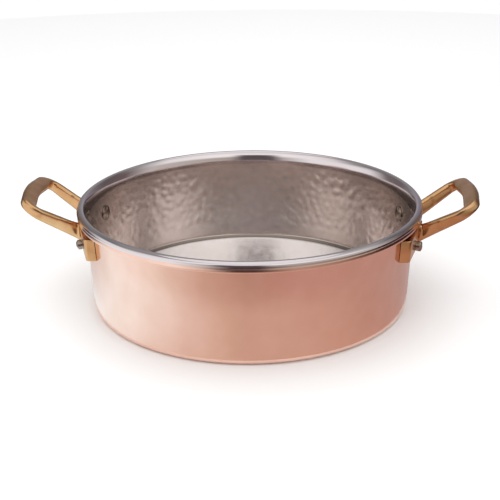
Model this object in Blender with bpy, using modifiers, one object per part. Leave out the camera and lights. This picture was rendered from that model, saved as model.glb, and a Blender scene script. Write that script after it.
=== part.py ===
"""Low copper casserole with a rolled lip, a silvery lining and two riveted brass loop handles.

Metres, +Z up. The origin is the centre of the base, and the handles lie along X.
"""

from math import asin, atan, atan2, cos, pi, radians, sin, sqrt, tan

import bmesh
import bpy
from mathutils import Matrix, Vector

# The pot: the wall leans out a little from the base to the lip
RIM_HEIGHT = 0.0915
WALL_TOP_RADIUS = 0.1423
WALL_BASE_RADIUS = 0.1380
BASE_CORNER_RADIUS = 0.0060

# The sheet: copper outside, and a thin lining that covers the inside and the lip
COPPER_THICKNESS = 0.0015
LINING_THICKNESS = 0.0004
SEAT_GAP = 0.0003

# The lip: the wall flares out, bends tightly over the top, and rolls out and down
LIP_FLARE_RADIUS = 0.0080
LIP_FLARE_TURN = radians(40)
LIP_BEND_RADIUS = 0.0026
LIP_ROLL_RADIUS = 0.00482
LIP_DROP = 0.0072
BARE_COPPER_EDGE = 0.0012

# The handle's loop: two strands that rise and spread from the wall to a wider grip
LOOP_RISE = radians(32.2)
LOOP_ROOT_DEPTH = 0.0266
LOOP_REACH = 0.0540
LOOP_ROOT_HALF_SPREAD = 0.0228
LOOP_GRIP_HALF_SPREAD = 0.0386
GRIP_BOW = 0.0055
GRIP_BOW_RADIUS = 0.0850
LOOP_CORNER_RADIUS = 0.0105
STRAND_WIDTH = 0.0056
STRAND_ROOT_HEIGHT = 0.0132
GRIP_WIDTH = 0.0135
GRIP_HEIGHT = 0.0086
ROOT_FLARE_WIDTH = 0.0024
ROOT_FLARE_HEIGHT = 0.0003
ROOT_FLARE_LENGTH = 0.0030
ROOT_TURN_LENGTH = 0.0130

# The handle's feet: flat-faced blocks whose backs follow the wall, with one rivet in each
FOOT_THICKNESS = 0.0047
FOOT_TOP_DEPTH = 0.0142
FOOT_HEIGHT = 0.0190
FOOT_HEEL = 0.0057
FOOT_TOE = 0.0447
FOOT_TOE_RADIUS = 0.0024
FOOT_EDGE_RADIUS = 0.0009

# The rivets: a domed head inside, a shank, and a thick hammered head outside
RIVET_DEPTH = 0.0283
RIVET_STEP = 0.0165
SHANK_RADIUS = 0.0030
INNER_HEAD_RADIUS = 0.0069
INNER_HEAD_HEIGHT = 0.0025
INNER_HEAD_EDGE = 0.0005
OUTER_HEAD_RADIUS = 0.0042
OUTER_HEAD_HEIGHT = 0.0047
OUTER_HEAD_ROUND = 0.0012
CUT_OVERRUN = 0.0020

# How finely round shapes are divided
POT_STEPS = 64
RIVET_STEPS = 16
SECTION_POINTS = 16
SECTION_SQUARENESS = 3.2
LOOP_CORNER_STEPS = 8
MERGE_DISTANCE = 0.00001

# Worked out from the sizes above
SHEET_THICKNESS = COPPER_THICKNESS + SEAT_GAP + LINING_THICKNESS
WALL_LEAN = atan((WALL_TOP_RADIUS - WALL_BASE_RADIUS) / RIM_HEIGHT)
HANDLE_ANGLES = {"right": 0.0, "left": pi}


def wall_radius(height):
    """Outside of the copper wall at this height above the base."""
    return WALL_BASE_RADIUS + height * tan(WALL_LEAN)


def arc(centre, radius, start, end, steps):
    """Points (r, z) round a centre, from one angle to another, both included."""
    turns = [start + (end - start) * i / steps for i in range(steps + 1)]
    return [(centre[0] + radius * cos(a), centre[1] + radius * sin(a)) for a in turns]


# The sheet's faces, which the copper and the lining share


def lip_centres():
    """Centres (r, z) of the lip's flare, of its tight bend and of its outer roll, one after the other."""
    bend_height = RIM_HEIGHT - LIP_BEND_RADIUS
    apart = LIP_FLARE_RADIUS - LIP_BEND_RADIUS
    flare_height = bend_height - apart * sin(LIP_FLARE_TURN)
    flare_radius = wall_radius(flare_height) + (LIP_FLARE_RADIUS - SHEET_THICKNESS) / cos(WALL_LEAN)
    radius = flare_radius - apart * cos(LIP_FLARE_TURN)
    return (flare_radius, flare_height), (radius, bend_height), (radius, RIM_HEIGHT - LIP_ROLL_RADIUS)


def lip_radius():
    """Outside of the lining on the lip, the pot's widest place."""
    return lip_centres()[2][0] + LIP_ROLL_RADIUS


def sheet_face(inset, edge_height):
    """Points (r, z) from the axis to the lip's edge, on the face that lies this far in from the outside."""
    flare_centre, bend_centre, roll_centre = lip_centres()
    corner_reach = BASE_CORNER_RADIUS * tan((pi / 2 - WALL_LEAN) / 2)
    corner_centre = (WALL_BASE_RADIUS - corner_reach, BASE_CORNER_RADIUS)
    depth = SHEET_THICKNESS - inset
    points = [(0.0, inset)]
    points += arc(corner_centre, BASE_CORNER_RADIUS - inset, -pi / 2, -WALL_LEAN, 4)
    points += arc(flare_centre, LIP_FLARE_RADIUS - depth, pi - WALL_LEAN, pi - LIP_FLARE_TURN, 3)
    points += arc(bend_centre, LIP_BEND_RADIUS - depth, pi - LIP_FLARE_TURN, pi / 2, 2)[1:]
    points += arc(roll_centre, LIP_ROLL_RADIUS - depth, pi / 2, 0.0, 5)[1:]
    points.append((lip_radius() - depth, edge_height))
    return points


def screw_object(name, profile, steps):
    """A solid turned about its own Z axis from a profile that starts and ends on the axis."""
    mesh = bpy.data.meshes.new(name)
    points = [(r, 0.0, z) for r, z in profile]
    edges = [(i, i + 1) for i in range(len(points) - 1)]
    mesh.from_pydata(points, edges, [])
    turned = bpy.data.objects.new(name, mesh)
    screw = turned.modifiers.new("turn", "SCREW")
    screw.steps = steps
    screw.render_steps = steps
    screw.use_merge_vertices = True
    screw.merge_threshold = MERGE_DISTANCE
    screw.use_smooth_shade = True
    return turned


def make_copper_shell():
    lining_edge = RIM_HEIGHT - LIP_DROP
    copper_edge = lining_edge - BARE_COPPER_EDGE
    half = COPPER_THICKNESS / 2
    edge_radius = lip_radius() - SHEET_THICKNESS + half
    inner = sheet_face(COPPER_THICKNESS, copper_edge)
    outer = sheet_face(0.0, copper_edge)
    rounded_edge = arc((edge_radius, copper_edge), half, 0.0, -pi, 4)[1:-1]
    return screw_object("copper_shell", inner + rounded_edge + outer[::-1], POT_STEPS)


def make_lining():
    lining_edge = RIM_HEIGHT - LIP_DROP
    inner = sheet_face(SHEET_THICKNESS, lining_edge)
    outer = sheet_face(COPPER_THICKNESS + SEAT_GAP, lining_edge)
    return screw_object("lining", inner + outer[::-1], POT_STEPS)


# The rivets, which stand square to the wall


def rivet_height():
    return RIM_HEIGHT - RIVET_DEPTH


def arc_angle(length):
    """Angle about the pot's axis of a length measured along the wall, at the handle's height."""
    return length / wall_radius(RIM_HEIGHT - LOOP_ROOT_DEPTH)


def rivet_angle():
    return arc_angle(LOOP_ROOT_HALF_SPREAD + RIVET_STEP)


def rivet_frame(handle_angle, side):
    """Places local +Z on the wall's outward normal, with local Z = 0 on the copper's outside."""
    turn = Matrix.Rotation(handle_angle + side * rivet_angle(), 4, "Z")
    place = Matrix.Translation((wall_radius(rivet_height()), 0.0, rivet_height()))
    tilt = Matrix.Rotation(pi / 2 + WALL_LEAN, 4, "Y")
    return turn @ place @ tilt


def rivet_profile():
    """Points (r, z) from the outer head's top, down its outside, to the top of the dome inside the pot."""
    sagitta = INNER_HEAD_RADIUS**2 / (2 * wall_radius(rivet_height()))
    outer_seat = SEAT_GAP + FOOT_THICKNESS + SEAT_GAP
    outer_top = outer_seat + OUTER_HEAD_HEIGHT
    inner_seat = -SHEET_THICKNESS - SEAT_GAP - sagitta
    dome_start = inner_seat - INNER_HEAD_EDGE
    dome_height = INNER_HEAD_HEIGHT - INNER_HEAD_EDGE
    dome_radius = (INNER_HEAD_RADIUS**2 + dome_height**2) / (2 * dome_height)
    dome_centre = (0.0, dome_start - dome_height + dome_radius)
    dome_turn = asin(min(INNER_HEAD_RADIUS / dome_radius, 1.0))
    round_centre = (OUTER_HEAD_RADIUS - OUTER_HEAD_ROUND, outer_top - OUTER_HEAD_ROUND)
    points = [(0.0, outer_top)]
    points += arc(round_centre, OUTER_HEAD_ROUND, pi / 2, 0.0, 3)
    points += [(OUTER_HEAD_RADIUS, outer_seat), (SHANK_RADIUS, outer_seat)]
    points += [(SHANK_RADIUS, inner_seat), (INNER_HEAD_RADIUS, inner_seat)]
    points += arc(dome_centre, dome_radius, dome_turn - pi / 2, -pi / 2, 4)
    return points


def make_rivet(name, handle_angle, side):
    rivet = screw_object(name, rivet_profile(), RIVET_STEPS)
    rivet.matrix_world = rivet_frame(handle_angle, side)
    return rivet


def make_rivet_holes():
    """One cutter that holds the four shank holes."""
    low = -SHEET_THICKNESS - CUT_OVERRUN
    high = SEAT_GAP + FOOT_THICKNESS + CUT_OVERRUN
    centre = Matrix.Translation((0.0, 0.0, (low + high) / 2))
    cutter = bmesh.new()
    for handle_angle in HANDLE_ANGLES.values():
        for side in (-1, 1):
            bmesh.ops.create_cone(
                cutter,
                cap_ends=True,
                segments=RIVET_STEPS,
                radius1=SHANK_RADIUS + SEAT_GAP,
                radius2=SHANK_RADIUS + SEAT_GAP,
                depth=high - low,
                matrix=rivet_frame(handle_angle, side) @ centre,
            )
    return object_of("rivet_holes", cutter)


# The handles


def object_of(name, shape):
    mesh = bpy.data.meshes.new(name)
    bmesh.ops.recalc_face_normals(shape, faces=shape.faces)
    shape.to_mesh(mesh)
    shape.free()
    return bpy.data.objects.new(name, mesh)


def rounded_route(corners, radii, steps):
    """A flat route through its first and last corners, with an arc at each corner between them."""
    route = [Vector(corners[0])]
    for before, corner, after, radius in zip(corners, corners[1:], corners[2:], radii):
        corner = Vector(corner)
        back = (Vector(before) - corner).normalized()
        ahead = (Vector(after) - corner).normalized()
        half_turn = back.angle(ahead) / 2
        centre = corner + (back + ahead).normalized() * (radius / sin(half_turn))
        start = corner + back * (radius / tan(half_turn)) - centre
        sweep = start.angle_signed(corner + ahead * (radius / tan(half_turn)) - centre)
        for i in range(steps + 1):
            route.append(centre + Matrix.Rotation(-sweep * i / steps, 2) @ start)
    route.append(Vector(corners[-1]))
    return route


def loop_route():
    """The loop's centreline in its own plane, from the wall out to the tip: (reach, spread) points."""
    tip = LOOP_REACH + GRIP_BOW
    root = (0.0, LOOP_ROOT_HALF_SPREAD)
    corner = (LOOP_REACH, LOOP_GRIP_HALF_SPREAD)
    far_corner = (LOOP_REACH, -LOOP_GRIP_HALF_SPREAD)
    whole = rounded_route(
        [root, corner, (tip, 0.0), far_corner],
        [LOOP_CORNER_RADIUS, GRIP_BOW_RADIUS],
        LOOP_CORNER_STEPS,
    )
    half = [point for point in whole if point.y > MERGE_DISTANCE]
    bow = [point for point in whole if abs(point.y) <= MERGE_DISTANCE]
    return half + bow[:1]


def ease(share):
    """Smooth change from 0 to 1."""
    share = min(max(share, 0.0), 1.0)
    return share * share * (3 - 2 * share)


def section_ring(centre, across, up, half_width, half_height):
    """A rounded-square ring of points about a centre."""
    ring = []
    for i in range(SECTION_POINTS):
        turn = 2 * pi * (i + 0.5) / SECTION_POINTS
        x = abs(cos(turn)) ** (2 / SECTION_SQUARENESS) * (1 if cos(turn) > 0 else -1)
        y = abs(sin(turn)) ** (2 / SECTION_SQUARENESS) * (1 if sin(turn) > 0 else -1)
        ring.append(centre + across * (x * half_width) + up * (y * half_height))
    return ring


def foot_face_x(height, spread):
    """X of the foot's flat face, which is square to the rivet, at a height and a distance from the XZ plane."""
    distance = wall_radius(height) + (SEAT_GAP + FOOT_THICKNESS) / cos(WALL_LEAN)
    return (distance - spread * sin(rivet_angle())) / cos(rivet_angle())


def root_start():
    """Where a strand's centreline would meet the bare wall."""
    height = RIM_HEIGHT - LOOP_ROOT_DEPTH
    return Vector((wall_radius(height) * cos(arc_angle(LOOP_ROOT_HALF_SPREAD)), 0.0, height))


def loop_stations():
    """(centre in the loop's plane, way ahead, flare share) for each section, from the foot's face to the tip."""
    route = loop_route()
    strand = (route[1] - route[0]).normalized()
    start = root_start()
    face = (foot_face_x(start.z, LOOP_ROOT_HALF_SPREAD) - start.x) / cos(LOOP_RISE) / strand.x
    stations = []
    for i in range(4):
        out = i / 3
        flare = 1 - sqrt(1 - (1 - out) ** 2)
        stations.append((route[0] + strand * (face + ROOT_FLARE_LENGTH * out), strand, flare))
    stations.append((route[0] + strand * (face + ROOT_TURN_LENGTH), strand, 0.0))
    for before, point, after in zip(route, route[1:], route[2:] + [None]):
        ahead = Vector((0.0, -1.0))
        if after is not None:
            ahead = ((point - before).normalized() + (after - point).normalized()).normalized()
        stations.append((point, ahead, 0.0))
    return stations


def loop_sections():
    """The rings of half a loop, from inside its foot to the tip on the plane of symmetry."""
    start = root_start()
    out = Vector((cos(LOOP_RISE), 0.0, sin(LOOP_RISE)))
    side = Vector((0.0, 1.0, 0.0))
    square = Vector((-sin(LOOP_RISE), 0.0, cos(LOOP_RISE)))
    facing = Vector((cos(rivet_angle()), sin(rivet_angle()), 0.0))
    along_foot = Vector((-sin(rivet_angle()), cos(rivet_angle()), 0.0))
    stations = loop_stations()
    rings = []
    for point, ahead, flare in stations:
        turned = ease((point - stations[0][0]).length / ROOT_TURN_LENGTH)
        gripped = ease(atan2(abs(ahead.y), abs(ahead.x)) / (pi / 2)) if point.x > LOOP_REACH / 2 else 0.0
        across = along_foot.lerp(out * -ahead.y + side * ahead.x, turned).normalized()
        up = Vector((0.0, 0.0, 1.0)).lerp(square, turned).normalized()
        tall = STRAND_ROOT_HEIGHT + (GRIP_HEIGHT - STRAND_ROOT_HEIGHT) * min(point.x / LOOP_REACH, 1.0)
        wide = STRAND_WIDTH + (GRIP_WIDTH - STRAND_WIDTH) * gripped
        half_height = tall / 2 / up.dot(square) + ROOT_FLARE_HEIGHT * flare
        half_width = wide / 2 + ROOT_FLARE_WIDTH * flare
        centre = start + out * point.x + side * point.y
        rings.append(section_ring(centre, across, up, half_width, half_height))
    seat = [point - facing * (FOOT_THICKNESS / 2) for point in rings[0]]
    return [seat] + rings


def make_half_loop(name):
    """Half of the loop as a loft, capped inside the foot and open on the plane of symmetry."""
    shape = bmesh.new()
    rings = [[shape.verts.new(point) for point in ring] for ring in loop_sections()]
    for ring, following in zip(rings, rings[1:]):
        for i in range(SECTION_POINTS):
            j = (i + 1) % SECTION_POINTS
            shape.faces.new((ring[i], ring[j], following[j], following[i]))
    shape.faces.new(rings[0])
    for vertex in rings[-1]:
        vertex.co.y = 0.0
    for face in shape.faces:
        face.smooth = True
    return object_of(name, shape)


def make_wall_clearance():
    """A turned cutter one gap larger than the leaning wall, over the feet's height."""
    high = RIM_HEIGHT - FOOT_TOP_DEPTH + CUT_OVERRUN
    low = RIM_HEIGHT - FOOT_TOP_DEPTH - FOOT_HEIGHT - CUT_OVERRUN
    clear = SEAT_GAP / cos(WALL_LEAN)
    profile = [(0.0, high), (wall_radius(high) + clear, high), (wall_radius(low) + clear, low), (0.0, low)]
    return screw_object("wall_clearance", profile, POT_STEPS)


def make_feet(name, wall_clearance):
    """Both feet of one handle: blocks with flat faces, whose backs are cut to follow the wall."""
    shape = bmesh.new()
    high = RIM_HEIGHT - FOOT_TOP_DEPTH
    low = high - FOOT_HEIGHT
    heel = LOOP_ROOT_HALF_SPREAD - FOOT_HEEL
    toe = LOOP_ROOT_HALF_SPREAD + FOOT_TOE
    back = sqrt(wall_radius(low) ** 2 - toe**2) - CUT_OVERRUN
    for side in (-1, 1):
        block = bmesh.ops.create_cube(shape, size=1.0)["verts"]
        for vertex in block:
            height = high if vertex.co.z > 0 else low
            spread = toe if vertex.co.y > 0 else heel
            x = foot_face_x(height, spread) if vertex.co.x > 0 else back
            vertex.co = (x, side * spread, height)
    bmesh.ops.recalc_face_normals(shape, faces=shape.faces)
    toes = [edge for edge in shape.edges if is_toe_edge(edge, toe, back)]
    bmesh.ops.bevel(shape, geom=toes, offset=FOOT_TOE_RADIUS, segments=3, profile=0.5, affect="EDGES")
    feet = object_of(name, shape)
    edge = feet.modifiers.new("edge", "BEVEL")
    edge.width = FOOT_EDGE_RADIUS
    edge.segments = 2
    edge.limit_method = "ANGLE"
    edge.angle_limit = radians(50)
    boolean(feet, wall_clearance, "DIFFERENCE")
    return feet


def is_toe_edge(edge, toe, back):
    """Whether this is the upright outer edge at a foot's toe."""
    return all(
        abs(abs(vertex.co.y) - toe) < MERGE_DISTANCE and vertex.co.x > back + MERGE_DISTANCE
        for vertex in edge.verts
    )


def boolean(target, other, operation):
    modifier = target.modifiers.new(other.name, "BOOLEAN")
    modifier.object = other
    modifier.operation = operation
    modifier.solver = "EXACT"


def make_handle(name, handle_angle, wall_clearance, holes, helpers):
    """A loop with its two feet, and the rivets' holes through the feet."""
    handle = make_half_loop(name)
    feet = make_feet(name + "_feet", wall_clearance)
    for item in (handle, feet):
        item.rotation_euler = (0.0, 0.0, handle_angle)
    mirror = handle.modifiers.new("other half", "MIRROR")
    mirror.use_axis = (False, True, False)
    mirror.merge_threshold = MERGE_DISTANCE
    boolean(handle, feet, "UNION")
    boolean(handle, holes, "DIFFERENCE")
    helpers.append(feet)
    return handle


# Materials and the scene


def metal(name, colour, roughness):
    material = bpy.data.materials.new(name)
    material.use_nodes = True
    shader = material.node_tree.nodes["Principled BSDF"]
    shader.inputs["Base Color"].default_value = (*colour, 1.0)
    shader.inputs["Metallic"].default_value = 1.0
    shader.inputs["Roughness"].default_value = roughness
    return material


def clear_scene():
    for item in list(bpy.data.objects):
        bpy.data.objects.remove(item, do_unlink=True)


def collection_of(name, items):
    collection = bpy.data.collections.new(name)
    bpy.context.scene.collection.children.link(collection)
    for item in items:
        collection.objects.link(item)


def main():
    clear_scene()
    holes = make_rivet_holes()
    wall_clearance = make_wall_clearance()
    helpers = [holes, wall_clearance]
    copper_shell = make_copper_shell()
    lining = make_lining()
    boolean(copper_shell, holes, "DIFFERENCE")
    boolean(lining, holes, "DIFFERENCE")
    copper_shell.data.materials.append(metal("copper", (0.80, 0.42, 0.30), 0.30))
    lining.data.materials.append(metal("lining", (0.62, 0.58, 0.55), 0.25))
    parts = [copper_shell, lining]
    for side_name, handle_angle in HANDLE_ANGLES.items():
        handle = make_handle(side_name + "_handle", handle_angle, wall_clearance, holes, helpers)
        handle.data.materials.append(metal(side_name + " brass", (0.76, 0.52, 0.24), 0.22))
        parts.append(handle)
        front = -1 if side_name == "right" else 1
        for place, side in (("front", front), ("back", -front)):
            rivet = make_rivet(f"{side_name}_{place}_rivet", handle_angle, side)
            rivet.data.materials.append(metal(f"{side_name} {place} rivet", (0.55, 0.52, 0.50), 0.30))
            parts.append(rivet)
    for helper in helpers:
        helper.hide_render = True
        helper.display_type = "WIRE"
    collection_of("copper_casserole", parts)
    collection_of("cutters", helpers)


main()
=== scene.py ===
"""A low copper casserole with a hammered lining and two riveted brass handles.

Metres, +Z up. The origin is the centre of the base, and the handles lie along X.
"""

import random
from math import asin, atan, atan2, ceil, cos, pi, radians, sin, sqrt, tan

import bmesh
import bpy
from mathutils import Matrix, Vector, kdtree


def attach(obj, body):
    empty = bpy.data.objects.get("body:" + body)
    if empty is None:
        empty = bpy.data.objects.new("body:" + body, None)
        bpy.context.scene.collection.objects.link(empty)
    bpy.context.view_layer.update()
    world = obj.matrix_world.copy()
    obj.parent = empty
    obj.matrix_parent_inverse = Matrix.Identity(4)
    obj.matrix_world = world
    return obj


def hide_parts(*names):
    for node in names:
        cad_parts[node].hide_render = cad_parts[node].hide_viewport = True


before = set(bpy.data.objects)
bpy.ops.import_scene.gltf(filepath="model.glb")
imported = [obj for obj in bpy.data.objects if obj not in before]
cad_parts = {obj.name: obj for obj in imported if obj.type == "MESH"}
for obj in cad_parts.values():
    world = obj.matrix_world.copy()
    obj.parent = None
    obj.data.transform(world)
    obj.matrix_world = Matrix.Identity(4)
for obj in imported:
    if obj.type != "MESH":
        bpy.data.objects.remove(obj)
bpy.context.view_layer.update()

# The pot's sizes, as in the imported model
RIM_HEIGHT = 0.0915
WALL_TOP_RADIUS = 0.1423
WALL_BASE_RADIUS = 0.1380
BASE_CORNER_RADIUS = 0.0060
COPPER_THICKNESS = 0.0015
LINING_THICKNESS = 0.0004
SEAT_GAP = 0.0003
SHEET_THICKNESS = COPPER_THICKNESS + SEAT_GAP + LINING_THICKNESS
WALL_LEAN = atan((WALL_TOP_RADIUS - WALL_BASE_RADIUS) / RIM_HEIGHT)

# The rolled lip and the copper's skirt under it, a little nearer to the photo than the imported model
LIP_RADIUS = 0.1485
LIP_HEIGHT = 0.0911
LIP_FLARE_RADIUS = 0.0200
LIP_FLARE_TURN = radians(32)
LIP_BEND_RADIUS = 0.0022
EDGE_HEIGHT = 0.0864
SKIRT_RADIUS = 0.0090
SKIRT_START = radians(18)
SKIRT_TURN = radians(4)

# The pot's floor: level in the middle, then dished up towards the corner, and smooth up to its edge;
# the corner above it is coloured darker in its lowest millimetres, and this fades out further up
FLOOR_RING_RADIUS = 0.0450
FLOOR_LEVEL_RADIUS = 0.0780
DISH_WIDTH = 0.0506
DISH_HEIGHT = 0.0016577
FLOOR_EDGE_RADIUS = 0.1305
DARK_CORNER_HEIGHT = 0.0050
CORNER_FADE_HEIGHT = 0.0070
BASE_RING_RADII = (0.0, 0.040, 0.080, 0.110, 0.126)

# The handles' sizes
LOOP_RISE = radians(32.2)
LOOP_ROOT_DEPTH = 0.0266
LOOP_REACH = 0.0540
LOOP_ROOT_HALF_SPREAD = 0.0228
LOOP_GRIP_HALF_SPREAD = 0.0386
GRIP_BOW = 0.0055
GRIP_BOW_RADIUS = 0.0850
LOOP_CORNER_RADIUS = 0.0105
STRAND_WIDTH = 0.0056
STRAND_ROOT_HEIGHT = 0.0132
GRIP_WIDTH = 0.0135
GRIP_HEIGHT = 0.0086
ROOT_FLARE_WIDTH = 0.0024
ROOT_FLARE_HEIGHT = 0.0003
ROOT_FLARE_LENGTH = 0.0030
ROOT_TURN_LENGTH = 0.0130
FOOT_THICKNESS = 0.0047
FOOT_TOP_DEPTH = 0.0142
FOOT_HEIGHT = 0.0190
FOOT_HEEL = 0.0057
FOOT_TOE = 0.0447
FOOT_TOE_RADIUS = 0.0024
FOOT_EDGE_RADIUS = 0.0009
HOLE_DEPTH = 2.5 * (FOOT_THICKNESS + SEAT_GAP)
OVERRUN = 0.0020

# The rivets' sizes
RIVET_DEPTH = 0.0283
RIVET_STEP = 0.0165
SHANK_RADIUS = 0.0030
INNER_HEAD_RADIUS = 0.0069
INNER_HEAD_HEIGHT = 0.0025
INNER_HEAD_EDGE = 0.0005
OUTER_HEAD_RADIUS = 0.0042
OUTER_HEAD_HEIGHT = 0.0047
OUTER_HEAD_ROUND = 0.0012
OUTER_HEAD_TOP_RING_SHARE = 0.4

# Blows that struck an outer head's edge flat: turn and slope in degrees, and the cut's height over the
# head's top; and how far each copy of the rivet is spun from the last
HEAD_FLATS = ((20, 24, 0.00100), (115, 30, 0.00065), (200, 20, 0.00105), (290, 34, 0.00050))
SPIN_BY_HANDLE = 1.3
SPIN_BY_FOOT = 2.1

# Hammer marks: how far apart the blows fall, how wide and deep a hollow is, between which heights the
# blows fall, and between which heights they fade in and out
LINING_BLOW_PITCH = 0.0078
LINING_BLOW_RADIUS = 0.0047
LINING_BLOW_DEPTH = 0.00017
LINING_BLOW_HEIGHTS = (0.009, 0.078)
LINING_FADE_IN = (0.012, 0.022)
LINING_FADE_OUT = (0.073, 0.079)
LINING_SEED = 11
COPPER_BLOW_PITCH = 0.0110
COPPER_BLOW_RADIUS = 0.0085
COPPER_BLOW_DEPTH = 0.00003
COPPER_BLOW_HEIGHTS = (0.008, 0.082)
COPPER_FADE_IN = (0.005, 0.012)
COPPER_FADE_OUT = (0.072, 0.078)
COPPER_SEED = 5

# Shares of the pitch: the rings' distance, and how far a blow falls beside or above its place
RING_SHARE = 0.87
SIDE_SCATTER_SHARE = 0.30
HEIGHT_SCATTER_SHARE = 0.32

# Shares of the depth: the lightest and the hardest blow, and how far the sheet stands up between blows
LIGHT_BLOW_SHARE = 0.55
HARD_BLOW_SHARE = 1.25
SWELL_SHARE = 0.5

# How finely the shapes are divided; a sheet's steps are those of its corner, wall, flare, bend and roll
LINING_STEPS = 640
COPPER_STEPS = 512
RIVET_STEPS = 64
CUTTER_STEPS = 256
HOLE_STEPS = 48
SCREEN_STEPS = 96
LINING_SHEET_STEPS = (8, 52, 14, 8, 16)
COPPER_SHEET_STEPS = (12, 42, 10, 4, 8)
HIDDEN_SHEET_STEPS = (4, 2, 4, 3, 8)
DISH_STEPS = 11
SKIRT_STEPS = 10
DOME_STEPS = 10
ROUND_STEPS = 8
FLARE_STEPS = 6
TOE_STEPS = 10
FOOT_EDGE_STEPS = 5
SECTION_POINTS = 48
SECTION_SQUARENESS = 3.2
SPAN_STEP = 0.0016
START_SIZE = 0.001
MERGE_DISTANCE = 0.000005

# Edges sharper than this stay sharp on each piece
LINING_CREASE = radians(50)
COPPER_CREASE = radians(60)
RIVET_CREASE = radians(16)
HANDLE_CREASE = radians(30)
FOOT_CREASE = radians(40)


# Modelling


def clear_selection():
    if bpy.context.object and bpy.context.object.mode != "OBJECT":
        bpy.ops.object.mode_set(mode="OBJECT")
    bpy.ops.object.select_all(action="DESELECT")


def pick(piece):
    """Makes one piece the only one selected."""
    clear_selection()
    piece.select_set(True)
    bpy.context.view_layer.objects.active = piece


def start_at(name, point):
    """A mesh of one point, open for editing: a small plane drawn together."""
    clear_selection()
    bpy.ops.mesh.primitive_plane_add(size=START_SIZE, location=(0.0, 0.0, 0.0))
    piece = bpy.context.object
    piece.name = piece.data.name = name
    bpy.ops.object.mode_set(mode="EDIT")
    bpy.ops.mesh.select_mode(type="VERT")
    bpy.ops.mesh.select_all(action="SELECT")
    bpy.ops.mesh.merge(type="CENTER")
    bpy.ops.transform.translate(value=point)
    return piece


def turn_profile(name, profile, steps):
    """A body turned from a profile of (r, z) points, closed where its ends lie on the axis."""
    piece = start_at(name, (profile[0][0], 0.0, profile[0][1]))
    for before, after in zip(profile, profile[1:]):
        step = (after[0] - before[0], 0.0, after[1] - before[1])
        bpy.ops.mesh.extrude_vertices_move(TRANSFORM_OT_translate={"value": step})
    bpy.ops.object.mode_set(mode="OBJECT")
    turn = piece.modifiers.new("turn", "SCREW")
    turn.steps = steps
    turn.render_steps = steps
    turn.use_merge_vertices = True
    turn.merge_threshold = MERGE_DISTANCE
    bpy.ops.object.modifier_apply(modifier="turn")
    tidy_faces(piece)
    return piece


def tidy_faces(piece):
    """Merges doubled points and turns every face outwards."""
    pick(piece)
    bpy.ops.object.mode_set(mode="EDIT")
    bpy.ops.mesh.select_all(action="SELECT")
    bpy.ops.mesh.remove_doubles(threshold=MERGE_DISTANCE)
    bpy.ops.mesh.normals_make_consistent(inside=False)
    bpy.ops.object.mode_set(mode="OBJECT")


def apply_modifier(piece, modifier):
    pick(piece)
    bpy.ops.object.modifier_apply(modifier=modifier.name)


def smooth(piece, angle):
    pick(piece)
    bpy.ops.object.shade_smooth_by_angle(angle=angle, keep_sharp_edges=False)


def copy_placed(piece, name, place):
    """A copy with its own mesh, which is turned and moved to its place."""
    copy = piece.copy()
    copy.data = piece.data.copy()
    copy.name = copy.data.name = name
    bpy.context.scene.collection.objects.link(copy)
    copy.data.transform(place)
    return copy


def finish_piece(piece, node, slot, *materials):
    """Gives a finished piece its materials and its body, and hides the CAD node it stands for."""
    piece.data.materials.clear()
    for material in materials:
        piece.data.materials.append(material)
    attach(piece, "root")
    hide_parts(node)


# The pot's sheet


def wall_radius(height):
    return WALL_BASE_RADIUS + height * tan(WALL_LEAN)


def arc(centre, radius, start, end, steps):
    turns = [start + (end - start) * i / steps for i in range(steps + 1)]
    return [(centre[0] + radius * cos(a), centre[1] + radius * sin(a)) for a in turns]


def lip_centres():
    """Centres (r, z) of the lip's long inner flare, of its tight bend and of its outer roll."""
    bend_height = LIP_HEIGHT - LIP_BEND_RADIUS
    apart = LIP_FLARE_RADIUS - LIP_BEND_RADIUS
    flare_height = bend_height - apart * sin(LIP_FLARE_TURN)
    flare_radius = wall_radius(flare_height) + (LIP_FLARE_RADIUS - SHEET_THICKNESS) / cos(WALL_LEAN)
    radius = flare_radius - apart * cos(LIP_FLARE_TURN)
    roll_height = LIP_HEIGHT - (LIP_RADIUS - radius)
    return (flare_radius, flare_height), (radius, bend_height), (radius, roll_height)


def skirt_centre():
    """Centre (r, z) of the copper's slightly bellied skirt under the lining's edge."""
    radius = LIP_RADIUS - LINING_THICKNESS - SEAT_GAP - SKIRT_RADIUS * cos(SKIRT_START)
    return radius, EDGE_HEIGHT - SKIRT_RADIUS * sin(SKIRT_START)


def sheet_face(inset, floor, steps, skirt_steps=0):
    """Points (r, z) of one face of the sheet, from the axis by floor and wall to the lip's edge."""
    corner_steps, wall_steps, flare_steps, bend_steps, roll_steps = steps
    flare, bend, roll = lip_centres()
    corner_reach = BASE_CORNER_RADIUS * tan((pi / 2 - WALL_LEAN) / 2)
    lift = floor[-1][1]
    corner = (WALL_BASE_RADIUS + lift * tan(WALL_LEAN) - corner_reach, BASE_CORNER_RADIUS + lift)
    depth = SHEET_THICKNESS - inset
    points = [(r, inset + rise) for r, rise in floor]
    points += arc(corner, BASE_CORNER_RADIUS - inset, -pi / 2, -WALL_LEAN, corner_steps)
    flare_start, flare_end = pi - WALL_LEAN, pi - LIP_FLARE_TURN
    flare_points = arc(flare, LIP_FLARE_RADIUS - depth, flare_start, flare_end, flare_steps)
    foot, head = Vector(points[-1]), Vector(flare_points[0])
    points += [tuple(foot.lerp(head, i / wall_steps)) for i in range(1, wall_steps)]
    points += flare_points
    points += arc(bend, LIP_BEND_RADIUS - depth, flare_end, pi / 2, bend_steps)[1:]
    points += arc(roll, LIP_RADIUS - roll[0] - depth, pi / 2, 0.0, roll_steps)[1:]
    if skirt_steps:
        skirt_radius = SKIRT_RADIUS - (depth - LINING_THICKNESS - SEAT_GAP)
        points += arc(skirt_centre(), skirt_radius, SKIRT_START, -SKIRT_TURN, skirt_steps)
    else:
        points.append((LIP_RADIUS - depth, EDGE_HEIGHT))
    return points


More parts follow.
